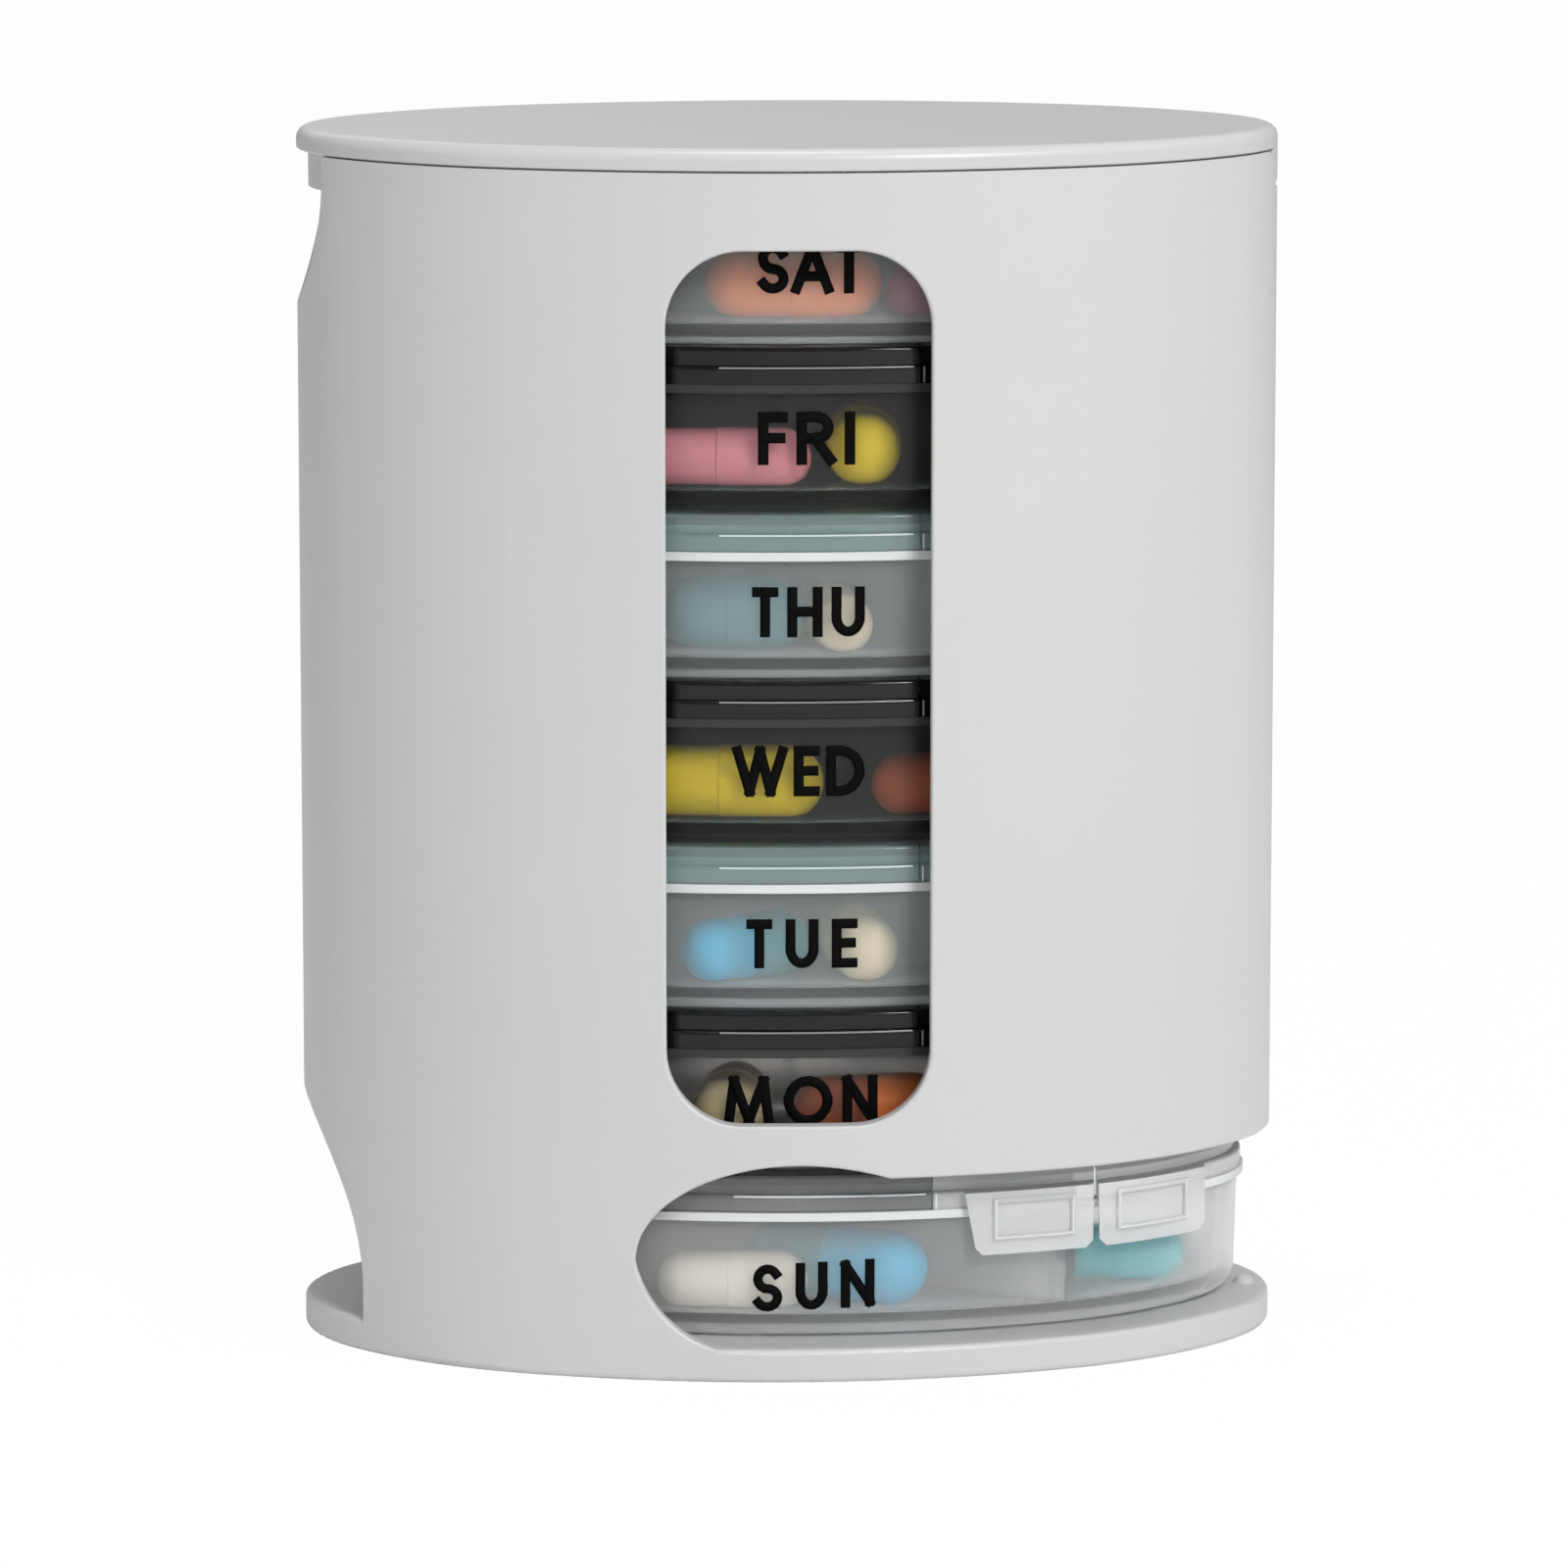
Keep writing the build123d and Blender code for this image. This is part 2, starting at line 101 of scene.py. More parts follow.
class Link:
    """Short ways to add and join the nodes of one node tree."""

    # Places of a Mix node's sockets: its share, then for each kind its two values and its result.
    MIX_SHARE = 0
    MIX_VALUES = {"FLOAT": (2, 3, 0), "RGBA": (6, 7, 2)}

    def __init__(self, tree: bpy.types.NodeTree) -> None:
        """Keep the tree that the nodes go into.

        Args:
            tree: A material's or a modifier's node tree.
        """
        self.tree = tree

    def add(self, kind: str, settings: dict | None = None, inputs: dict | None = None) -> bpy.types.Node:
        """Add a node, then set its properties and its input values.

        Args:
            kind: Blender's name of the node type.
            settings: Properties of the node by name.
            inputs: Values, or output sockets to join, by input name or index.

        Returns:
            The new node.
        """
        node = self.tree.nodes.new(kind)
        for name, value in (settings or {}).items():
            setattr(node, name, value)
        for name, value in (inputs or {}).items():
            if isinstance(value, bpy.types.NodeSocket):
                self.tree.links.new(value, node.inputs[name])
            else:
                node.inputs[name].default_value = value
        return node

    def math(self, operation: str, *values: object) -> bpy.types.NodeSocket:
        """Add a Math node and return its result.

        Args:
            operation: Blender's name of the operation.
            values: Numbers or sockets, in order.

        Returns:
            The node's output socket.
        """
        node = self.add("ShaderNodeMath", {"operation": operation}, dict(enumerate(values)))
        return node.outputs[0]

    def mix(self, kind: str, share: object, first: object, second: object) -> bpy.types.NodeSocket:
        """Add a Mix node and return its result.

        Args:
            kind: FLOAT or RGBA.
            share: The second value's share, a number or a socket.
            first: The value at share 0.
            second: The value at share 1.

        Returns:
            The node's output socket of that kind.
        """
        from_place, to_place, result = self.MIX_VALUES[kind]
        inputs = {self.MIX_SHARE: share, from_place: first, to_place: second}
        return self.add("ShaderNodeMix", {"data_type": kind}, inputs).outputs[result]

    def seen(self) -> bpy.types.NodeSocket:
        """Tell rays that the camera sends, also through clear plastic, from the rest.

        Returns:
            A socket that is 1 for those rays and 0 for the others.
        """
        rays = self.add("ShaderNodeLightPath").outputs
        return self.math("MAXIMUM", rays["Is Camera Ray"], rays["Is Transmission Ray"])


@dataclass(frozen=True)
class PlasticFinish:
    """A moulded plastic: colour, sheen and a fine mould grain that follows the piece."""

    name: str
    color: Color
    roughness: float = 0.4
    transmission: float = 0.0
    ior: float = 1.46
    specular: float = 0.5
    coat: float = 0.0
    coat_roughness: float = 0.08
    grain_size: float = 0.45
    grain_depth: float = 0.006
    grain_detail: float = 3.0
    wave_size: float = 30.0
    wave_depth: float = 0.05
    wave_detail: float = 2.0
    tint_spread: float = 0.02
    gloss_spread: float = 0.05
    least_roughness: float = 0.02

    def build(self) -> bpy.types.Material:
        """Make the material.

        Returns:
            A node material on object coordinates.
        """
        material = bpy.data.materials.new(self.name)
        material.use_nodes = True
        tree = material.node_tree
        tree.nodes.clear()
        link = Link(tree)
        place = link.add("ShaderNodeTexCoord").outputs["Object"]
        cloud, grain = (
            link.add(
                "ShaderNodeTexNoise", {}, {"Vector": place, "Scale": 1 / (size * MM), "Detail": detail}
            ).outputs[0]
            for size, detail in ((self.wave_size, self.wave_detail), (self.grain_size, self.grain_detail))
        )
        low = [max(channel * (1 - self.tint_spread), 0.0) for channel in self.color]
        high = [min(channel * (1 + self.tint_spread), 1.0) for channel in self.color]
        color = link.mix("RGBA", cloud, (*low, 1.0), (*high, 1.0))
        gloss = link.add(
            "ShaderNodeMapRange",
            {},
            {
                "Value": grain,
                "To Min": max(self.roughness - self.gloss_spread, self.least_roughness),
                "To Max": self.roughness + self.gloss_spread,
            },
        ).outputs[0]
        coarse = link.add(
            "ShaderNodeBump", {}, {"Strength": 1.0, "Distance": self.wave_depth * MM, "Height": cloud}
        ).outputs[0]
        fine = link.add(
            "ShaderNodeBump",
            {},
            {"Strength": 1.0, "Distance": self.grain_depth * MM, "Height": grain, "Normal": coarse},
        ).outputs[0]
        surface = link.add(
            "ShaderNodeBsdfPrincipled",
            {},
            {
                "Base Color": color,
                "Roughness": gloss,
                "Normal": fine,
                "IOR": self.ior,
                "Transmission Weight": self.transmission,
                "Specular IOR Level": self.specular,
                "Coat Weight": self.coat,
                "Coat Roughness": self.coat_roughness,
            },
        )
        link.add("ShaderNodeOutputMaterial", {}, {"Surface": surface.outputs[0]})
        return material


@dataclass(frozen=True)
class CupFinish(PlasticFinish):
    """A tray's frosted plastic: a band of another tone on its flange, and cloudier, so whiter, inside its walls and
    at its tips.

    On the clear and milky trays the flange band is a whiter tone, partly the rim's own frosting and partly a painted
    highlight on the flange's top; on the smoke trays it is a dark tone. The band repeats with the trays' pitch up the
    stack. The cloud inside is painted light that stands in for light scattered inside the tray: it grows inwards from
    the front and back walls, between the start and end distances given below, which are measured from the centres of
    the walls' arcs.
    """

    # On clear and milky trays this whiter flange band is partly a painted highlight on the flange's top.
    flange_tone_and_highlight: Color = (0.9, 0.92, 0.92)
    band_transmission: float = 0.2
    band_low: float = 12.95
    band_high: float = 14.05
    tray_pitch: float = 18.05
    stack_foot: float = 3.85
    # The inside is made cloudier, and so whiter, from the walls inwards: painted light that stands in for light
    # scattered inside the tray.
    painted_light_transmission: float = 0.4
    cloud_start: float = 76.6
    cloud_end: float = 73.4

    def build(self) -> bpy.types.Material:
        """Make the material.

        Returns:
            A node material on object coordinates.
        """
        material = super().build()
        link = Link(material.node_tree)
        nodes = material.node_tree.nodes
        surface = next(node for node in nodes if node.bl_idname == "ShaderNodeBsdfPrincipled")
        place = next(node for node in nodes if node.bl_idname == "ShaderNodeTexCoord").outputs["Object"]
        across, depth, height = link.add("ShaderNodeSeparateXYZ", {}, {0: place}).outputs
        # The flange band: on clear and milky trays a whiter tone that is partly a painted highlight on the flange's
        # top.
        raised = link.math("SUBTRACT", height, self.stack_foot * MM)
        level = link.math("MODULO", raised, self.tray_pitch * MM)
        above = link.math("GREATER_THAN", level, self.band_low * MM)
        below = link.math("LESS_THAN", level, self.band_high * MM)
        in_band = link.math("MULTIPLY", above, below)
        plain = surface.inputs["Base Color"].links[0].from_socket
        flange_toned = link.mix("RGBA", in_band, plain, (*self.flange_tone_and_highlight, 1.0))
        material.node_tree.links.new(flange_toned, surface.inputs["Base Color"])
        clearness = link.add(
            "ShaderNodeMapRange",
            {},
            {"Value": in_band, "To Min": self.transmission, "To Max": self.band_transmission},
        ).outputs[0]
        # Cloudier, so whiter, towards the inside of the tray: painted light standing in for light scattered inside
        # it.
        far = link.math("ADD", link.math("ABSOLUTE", depth), SIDE_MIDDLE_Y * MM)
        squares = link.math("ADD", link.math("MULTIPLY", across, across), link.math("MULTIPLY", far, far))
        painted_light_clearness = link.add(
            "ShaderNodeMapRange",
            {},
            {
                "Value": link.math("SQRT", squares),
                "From Min": self.cloud_start * MM,
                "From Max": self.cloud_end * MM,
                "To Min": clearness,
                "To Max": self.painted_light_transmission,
            },
        ).outputs[0]
        material.node_tree.links.new(painted_light_clearness, surface.inputs["Transmission Weight"])
        return material


@dataclass
class Finishes:
    """Every finish of the organizer and of its printed names, made once and shared."""

    shell: PlasticFinish = PlasticFinish("satin_grey_shell", (0.64, 0.64, 0.635), roughness=0.36)
    lid: PlasticFinish = PlasticFinish(
        "satin_grey_lid", (0.62, 0.625, 0.62), roughness=0.3, specular=0.4, grain_depth=0.0025
    )
    cups: dict[Tone, PlasticFinish] = field(default_factory=lambda: {
        Tone.MILKY: CupFinish(
            "frosted_milky_cup", (0.96, 0.965, 0.965), roughness=0.24, transmission=0.87, ior=1.2,
            grain_depth=0.0, wave_depth=0.01,
        ),
        Tone.CLEAR: CupFinish(
            "frosted_clear_cup", (0.93, 0.96, 0.96), roughness=0.24, transmission=0.90, ior=1.2,
            grain_depth=0.0, wave_depth=0.01, painted_light_transmission=0.5,
        ),
        Tone.SMOKE: CupFinish(
            "frosted_smoke_cup", (0.80, 0.79, 0.78), roughness=0.2, transmission=0.98, ior=1.2,
            grain_depth=0.0, wave_depth=0.01, flange_tone_and_highlight=(0.08, 0.08, 0.08), band_transmission=0.4,
            painted_light_transmission=0.975,
        ),
    })
    covers: dict[Tone, PlasticFinish] = field(default_factory=lambda: {
        Tone.MILKY: PlasticFinish(
            "frosted_milky_cover", (0.95, 0.96, 0.96), roughness=0.18, transmission=0.52, ior=1.4,
            grain_depth=0.0, wave_depth=0.01,
        ),
        Tone.CLEAR: PlasticFinish(
            "glossy_clear_cover", (0.62, 0.80, 0.80), roughness=0.14, transmission=0.75, ior=1.45,
            grain_depth=0.0, wave_depth=0.01,
        ),
        Tone.SMOKE: PlasticFinish(
            "glossy_smoke_cover", (0.02, 0.02, 0.022), roughness=0.12, transmission=0.8, ior=1.45,
            specular=0.3, grain_depth=0.0, wave_depth=0.01,
        ),
    })
    # The milky deck is a darker grey than its flaps: painted shade.
    decks: dict[Tone, PlasticFinish] = field(default_factory=lambda: {
        Tone.MILKY: PlasticFinish(
            "shaded_milky_deck", (0.62, 0.63, 0.63), roughness=0.2, transmission=0.75, ior=1.4,
            grain_depth=0.0, wave_depth=0.01,
        ),
    })
    # Opaque edge lines that read brighter than the see-through covers around them: painted highlights.
    edges: dict[Tone, PlasticFinish] = field(default_factory=lambda: {
        Tone.MILKY: PlasticFinish("highlight_milky_edge", (0.88, 0.89, 0.89), roughness=0.15, coat=0.5),
        Tone.CLEAR: PlasticFinish("highlight_clear_edge", (0.70, 0.78, 0.78), roughness=0.12, coat=0.5),
        Tone.SMOKE: PlasticFinish("highlight_smoke_edge", (0.26, 0.26, 0.26), roughness=0.12, coat=0.5),
    })
    # Opaque ridges that read brighter than the see-through tabs around them: painted highlights on the frames' lit
    # sides.
    ridges: dict[Tone, PlasticFinish] = field(default_factory=lambda: {
        Tone.MILKY: PlasticFinish("highlight_milky_ridge", (0.78, 0.79, 0.79), roughness=0.35),
        Tone.CLEAR: PlasticFinish("highlight_clear_ridge", (0.52, 0.62, 0.62), roughness=0.3),
        Tone.SMOKE: PlasticFinish("highlight_smoke_ridge", (0.10, 0.10, 0.10), roughness=0.3),
    })
    ink: PlasticFinish = PlasticFinish("black_ink", (0.004, 0.004, 0.004), roughness=0.6, specular=0.05)
    made: dict[str, bpy.types.Material] = field(default_factory=dict)

    def get(self, finish: PlasticFinish) -> bpy.types.Material:
        """Return the material of a finish, made at its first use.

        Args:
            finish: The finish wanted.

        Returns:
            Its material.
        """
        if finish.name not in self.made:
            self.made[finish.name] = finish.build()
        return self.made[finish.name]

    def cup(self, tone: Tone) -> bpy.types.Material:
        """Return the finish of a tray's cup in that tone.

        Args:
            tone: The tray's tone.

        Returns:
            The material.
        """
        return self.get(self.cups[tone])

    def edge(self, tone: Tone) -> bpy.types.Material:
        """Return the finish of a cover's edges in that tone, which paints their highlights.

        Args:
            tone: The tray's tone.

        Returns:
            The material.
        """
        return self.get(self.edges[tone])

    def ridge(self, tone: Tone) -> bpy.types.Material:
        """Return the finish of the ridges on a tray's latch tabs in that tone, which paints their highlights.

        Args:
            tone: The tray's tone.

        Returns:
            The material.
        """
        return self.get(self.ridges[tone])

    def flap(self, tone: Tone) -> bpy.types.Material:
        """Return the finish of a tray's flaps in that tone.

        Args:
            tone: The tray's tone.

        Returns:
            The material.
        """
        return self.get(self.covers[tone])

    def deck(self, tone: Tone) -> bpy.types.Material:
        """Return the finish of a tray's deck in that tone, which is its flaps' unless it has its own; the milky
        deck's own is a darker grey, painted shade.

        Args:
            tone: The tray's tone.

        Returns:
            The material.
        """
        return self.get(self.decks.get(tone, self.covers[tone]))


@dataclass(frozen=True)
class Capsule:
    """A two-piece capsule that lies on its compartment's floor.

    x and y are its middle in the tray, turn is its direction from above in degrees.
    """

    x: float
    y: float
    turn: float
    length: float
    diameter: float
    cap: Color
    body: Color


@dataclass(frozen=True)
class Tray:
    """One day's tray: its tone, its printed name and what it holds.

    name_left and name_right are the name's ends from the tray's middle, name_foot its distance over the tray's
    foot, name_height its letters' height, and name_tilt its slope in degrees.
    """

    day: str
    tone: Tone
    name_left: float
    name_right: float
    name_foot: float
    name_height: float
    capsules: tuple[Capsule, ...]
    name_tilt: float = 0.0


CREAM = (0.97, 0.78, 0.52)
WHITE = (0.97, 0.90, 0.78)
SKY = (0.0, 0.50, 0.80)
TEAL = (0.04, 0.36, 0.40)
AQUA = (0.02, 0.74, 0.82)
YELLOW = (0.92, 0.72, 0.03)
PINK = (0.98, 0.37, 0.44)
ORANGE = (0.98, 0.22, 0.02)
RUST = (0.46, 0.10, 0.03)
BEIGE = (0.95, 0.84, 0.46)
MIST = (0.08, 0.30, 0.33)
PLUM = (0.34, 0.06, 0.12)

TRAYS = (
    Tray("sun", Tone.MILKY, -6.37, 6.93, 2.85, 5.3, (
        Capsule(-8.4, -23.0, -5.0, 16.4, 6.5, WHITE, WHITE),
        Capsule(3.1, -17.8, -25.0, 21.0, 8.3, SKY, TEAL),
        Capsule(34.9, -8.5, 0.0, 14.0, 6.4, AQUA, AQUA),
    ), 2.5),
    Tray("mon", Tone.SMOKE, -7.93, 8.74, 5.5, 5.5, (
        Capsule(-6.7, -18.0, 82.0, 16.0, 7.8, BEIGE, BEIGE),
        Capsule(8.2, -21.2, 3.0, 16.5, 7.8, ORANGE, RUST),
    )),
    Tray("tue", Tone.CLEAR, -5.5, 6.53, 4.75, 5.4, (
        Capsule(-5.2, -20.2, 35.0, 16.0, 7.2, TEAL, SKY),
        Capsule(7.1, -19.0, 97.0, 15.0, 7.4, CREAM, CREAM),
    )),
    Tray("wed", Tone.SMOKE, -6.98, 7.27, 5.5, 5.5, (
        Capsule(-7.7, -22.6, -5.0, 21.5, 8.1, YELLOW, YELLOW),
        Capsule(15.6, -20.3, 5.0, 14.6, 7.0, RUST, RUST),
    )),
    Tray("thu", Tone.CLEAR, -4.87, 7.27, 4.75, 5.45, (
        Capsule(-6.6, -18.6, -10.0, 15.5, 8.2, MIST, MIST),
        Capsule(4.6, -18.6, 97.0, 15.5, 6.6, CREAM, CREAM),
    )),
    Tray("fri", Tone.SMOKE, -4.23, 6.21, 5.3, 5.75, (
        Capsule(-8.0, -22.9, -5.0, 19.4, 6.6, PINK, PINK),
        Capsule(7.5, -17.4, 88.0, 18.0, 8.2, YELLOW, YELLOW),
    )),
    Tray("sat", Tone.CLEAR, -4.31, 6.95, 5.65, 5.5, (
        Capsule(-0.2, -21.6, 0.0, 19.0, 8.2, ORANGE, ORANGE),
        Capsule(15.6, -20.6, 12.0, 12.0, 6.2, PLUM, PLUM),
    )),
)


def finish_mesh(mesh: bpy.types.Mesh, name: str, *materials: bpy.types.Material) -> bpy.types.Object:
    """Put a finished mesh in the scene.

    Args:
        mesh: The mesh, with its place in its points.
        name: The piece's name.
        materials: Its finishes, in the order of the faces' indices.

    Returns:
        The new object, at the origin.
    """
    # Clearing sets every face's material index to 0, so a mesh that has no materials yet is left as it is.
    if mesh.materials:
        mesh.materials.clear()
    for material in materials:
        mesh.materials.append(material)
    piece = bpy.data.objects.new(name, mesh)
    bpy.context.scene.collection.objects.link(piece)
    return piece


@dataclass
class LetterShapes:
    """Plain monoline capitals: strokes in a box of width and height 1, measured on the strokes' centre lines."""

    arc_steps: int = 14

    def arc(self, x: float, z: float, half_width: float, half_height: float, start: float, end: float) -> Stroke:
        """Set out an oval arc.

        Args:
            x: Centre across.
            z: Centre up.
            half_width: Half the oval's width.
            half_height: Half the oval's height.
            start: First angle in degrees.
            end: Last angle in degrees.

        Returns:
            The points in order.
        """
        angles = [radians(start + (end - start) * step / self.arc_steps) for step in range(self.arc_steps + 1)]
        return [(x + half_width * cos(angle), z + half_height * sin(angle)) for angle in angles]

    def strokes(self, letter: str) -> tuple[float, list[Stroke]]:
        """Give a letter's width, as a share of its height, and its strokes.

        Args:
            letter: A capital.

        Returns:
            The width share and the list of strokes, each a list of points.
        """
        left_stem = [(0, 0), (0, 1)]
        right_stem = [(1, 0), (1, 1)]
        top_bar = [(0, 1), (1, 1)]
        middle_bar = [(0, 0.51), (0.88, 0.51)]
        shapes = {
            "S": (0.62, [
                self.arc(0.5, 0.74, 0.47, 0.26, 28, 270),
                self.arc(0.5, 0.24, 0.5, 0.24, 90, -152),
            ]),
            "A": (0.82, [[(0, 0), (0.5, 1)], [(0.5, 1), (1, 0)], [(0.17, 0.3), (0.83, 0.3)]]),
            "T": (0.52, [top_bar, [(0.5, 0), (0.5, 1)]]),
            "F": (0.56, [left_stem, top_bar, middle_bar]),
            "R": (0.74, [
                left_stem,
                [(0, 1), (0.5, 1)],
                self.arc(0.5, 0.75, 0.42, 0.25, 90, -90),
                [(0.5, 0.5), (0, 0.5)],
                [(0.45, 0.5), (1, 0)],
            ]),
            "I": (0.2, [[(0.5, 0), (0.5, 1)]]),
            "H": (0.7, [left_stem, right_stem, [(0, 0.51), (1, 0.51)]]),
            "U": (0.66, [[(0, 1), (0, 0.36)], self.arc(0.5, 0.36, 0.5, 0.36, 180, 360), [(1, 0.36), (1, 1)]]),
            "W": (1.08, [[(0, 1), (0.27, 0)], [(0.27, 0), (0.5, 1)], [(0.5, 1), (0.73, 0)], [(0.73, 0), (1, 1)]]),
            "E": (0.52, [left_stem, top_bar, [(0, 0.51), (0.9, 0.51)], [(0, 0), (1, 0)]]),
            "D": (0.76, [left_stem, [(0, 1), (0.3, 1)], self.arc(0.3, 0.5, 0.7, 0.5, 90, -90), [(0.3, 0), (0, 0)]]),
            "M": (0.98, [[(0, 0), (0.13, 1)], [(0.13, 1), (0.5, 0)], [(0.5, 0), (0.87, 1)], [(0.87, 1), (1, 0)]]),
            "O": (0.96, [self.arc(0.5, 0.5, 0.5, 0.5, 0, 180), self.arc(0.5, 0.5, 0.5, 0.5, 180, 360)]),
            "N": (0.7, [left_stem, [(0, 1), (1, 0)], right_stem]),
        }
        return shapes[letter]


@dataclass(frozen=True)
class OvalFace:
    """The front of an oval piece of one tray: an upright wall that follows the tower's outline inside it.

    inset is the wall's distance inside the tower's outline at the tray's foot, and slope how much it
    leans out for each unit of height.
    """

    middle_x: float
    foot_z: float
    inset: float
    slope: float = 0.0


def tray_face(tray: Tray, inset: float, slope: float = 0.0) -> OvalFace:
    """Take the front of one tray from its packed cup.

    Args:
        tray: The tray.
        inset: The face's distance inside the tower's outline at the tray's foot.
        slope: How much the face leans out for each unit of height.

    Returns:
        The face.
    """
    low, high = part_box(f"{tray.day}_tray")
    return OvalFace((low.x + high.x) / 2 / MM, low.z / MM, inset, slope)


@dataclass
class WallRibbons:
    """Thin ribbons that follow flat strokes laid on an oval face.

    From above the face is the long side arc, with a tighter shoulder arc past each of its ends. side_reach is how
    far the side arc reaches from the middle, as a share of its radius.
    """

    station_gap: float = 0.4
    side_reach: float = 0.3746
    shoulder_radius: float = 44.0
    shoulder_x: float = 14.509
    shoulder_y: float = 13.82
    made: list[bpy.types.NodeTree] = field(default_factory=list)

    def tree(self) -> bpy.types.NodeTree:
        """Build the node tree that lays flat strokes on a curved, leaning wall as ribbons of a given finish.

        Returns:
            The tree, with its sizes as named inputs.
        """
        tree = bpy.data.node_groups.new("ink_strokes_on_wall", "GeometryNodeTree")
        face = tree.interface
        face.new_socket("Strokes", in_out="INPUT", socket_type="NodeSocketGeometry")
        for name in ("Stroke Width", "Ink Thickness", "Ink Sunk", "Station Gap", "Wall Radius", "Wall Slope",
                     "Foot Height", "Middle X", "Middle Y", "Side Reach", "Shoulder Radius", "Shoulder X",
                     "Shoulder Y"):
            face.new_socket(name, in_out="INPUT", socket_type="NodeSocketFloat")
        face.new_socket("Ink", in_out="INPUT", socket_type="NodeSocketMaterial")
        face.new_socket("Ribbons", in_out="OUTPUT", socket_type="NodeSocketGeometry")
        link = Link(tree)
        given = link.add("NodeGroupInput").outputs
        fine = link.add(
            "GeometryNodeResampleCurve", {"mode": "LENGTH"},
            {"Curve": given["Strokes"], "Length": given["Station Gap"]},
        ).outputs[0]
        spot = link.add("ShaderNodeSeparateXYZ", {}, {0: link.add("GeometryNodeInputPosition").outputs[0]}).outputs
        climb = link.math("MULTIPLY", link.math("SUBTRACT", spot["Z"], given["Foot Height"]), given["Wall Slope"])
        aside = link.math("SUBTRACT", spot["X"], given["Middle X"])
        reach = link.math("ABSOLUTE", aside)
        past_side = link.math("GREATER_THAN", reach, given["Side Reach"])

        def pick(side: object, shoulder: object) -> bpy.types.NodeSocket:
            """Take the side arc's value, or the shoulder arc's past the side arc's end.

            Args:
                side: The value on the side arc, a number or a socket.
                shoulder: The value on the shoulder arc.

            Returns:
                The value that holds at the point.
            """
            return link.mix("FLOAT", past_side, side, shoulder)

        radius = link.math("ADD", pick(given["Wall Radius"], given["Shoulder Radius"]), climb)
        along = link.math("SUBTRACT", reach, pick(0.0, given["Shoulder X"]))
        depth = link.math(
            "SQRT", link.math("SUBTRACT", link.math("MULTIPLY", radius, radius), link.math("MULTIPLY", along, along))
        )
        half_ink = link.math("MULTIPLY", given["Ink Thickness"], 0.5)
        lift = link.math("SUBTRACT", half_ink, given["Ink Sunk"])
        centre_y = pick(given["Middle Y"], given["Shoulder Y"])
        wall_y = link.math("SUBTRACT", link.math("SUBTRACT", centre_y, depth), lift)
        place = link.add("ShaderNodeCombineXYZ", {}, {"X": spot["X"], "Y": wall_y, "Z": spot["Z"]}).outputs[0]
        laid = link.add("GeometryNodeSetPosition", {}, {"Geometry": fine, "Position": place}).outputs[0]
        sideways = link.math("MULTIPLY", link.math("DIVIDE", along, radius), link.math("SIGN", aside))
        frontways = link.math("MULTIPLY", link.math("DIVIDE", depth, radius), -1.0)
        outwards = link.add("ShaderNodeCombineXYZ", {}, {"X": sideways, "Y": frontways}).outputs[0]
        upright = link.add(
            "GeometryNodeSetCurveNormal", {"mode": "FREE"}, {"Curve": laid, "Normal": outwards}
        ).outputs[0]
        section = link.add(
            "GeometryNodeCurvePrimitiveQuadrilateral", {},
            {"Width": given["Ink Thickness"], "Height": given["Stroke Width"]},
        ).outputs[0]
        ribbons = link.add(
            "GeometryNodeCurveToMesh", {}, {"Curve": upright, "Profile Curve": section, "Fill Caps": True}
        ).outputs[0]
        real = link.add("GeometryNodeRealizeInstances", {}, {"Geometry": ribbons}).outputs[0]
        inked = link.add("GeometryNodeSetMaterial", {}, {"Geometry": real, "Material": given["Ink"]}).outputs[0]
        link.add("NodeGroupOutput", {}, {"Ribbons": inked})
        return tree

    def lay(
        self, name: str, strokes: list[Stroke], face: OvalFace, width: float, thickness: float, sunk: float,
        material: bpy.types.Material,
    ) -> bpy.types.Object:
        """Lay strokes on an oval face as ribbons.

        Args:
            name: The new piece's name.
            strokes: Strokes, each a list of points across and up from the tray's middle and foot.
            face: The face that carries them.
            width: The ribbons' width.
            thickness: The ribbons' thickness.
            sunk: How far they reach into the face.
            material: The ribbons' finish.

        Returns:
            The ribbons as a plain mesh.
        """
        curve = bpy.data.curves.new(f"{name}_strokes", "CURVE")
        curve.dimensions = "3D"
        middle = Vector((face.middle_x, face.foot_z))
        for points in strokes:
            run = [middle + Vector(point) for point in points]
            run[0] += (run[0] - run[1]).normalized() * width / 2
            run[-1] += (run[-1] - run[-2]).normalized() * width / 2
            spline = curve.splines.new("POLY")
            spline.points.add(len(run) - 1)
            for point, spot in zip(spline.points, run):
                point.co = (spot.x * MM, 0.0, spot.y * MM, 1.0)
        holder = bpy.data.objects.new(f"{name}_strokes", curve)
        bpy.context.scene.collection.objects.link(holder)
        if not self.made:
            self.made.append(self.tree())
        modifier = holder.modifiers.new("ribbons", "NODES")
        modifier.node_group = self.made[0]
        sockets = {
            item.name: item.identifier for item in self.made[0].interface.items_tree if item.in_out == "INPUT"
        }
        sizes = {
            "Stroke Width": width,
            "Ink Thickness": thickness,
            "Ink Sunk": sunk,
            "Station Gap": self.station_gap,
            "Wall Radius": SIDE_RADIUS - face.inset,
            "Foot Height": face.foot_z,
            "Middle X": face.middle_x,
            "Middle Y": SIDE_MIDDLE_Y,
            "Side Reach": (SIDE_RADIUS - face.inset) * self.side_reach,
            "Shoulder Radius": self.shoulder_radius - face.inset,
            "Shoulder X": self.shoulder_x,
            "Shoulder Y": self.shoulder_y,
        }
        for label, size in sizes.items():
            modifier[sockets[label]] = size * MM
        modifier[sockets["Wall Slope"]] = face.slope
        modifier[sockets["Ink"]] = material
        view = bpy.context.evaluated_depsgraph_get()
        mesh = bpy.data.meshes.new_from_object(holder.evaluated_get(view))
        bpy.data.objects.remove(holder)
        return finish_mesh(mesh, name, material)


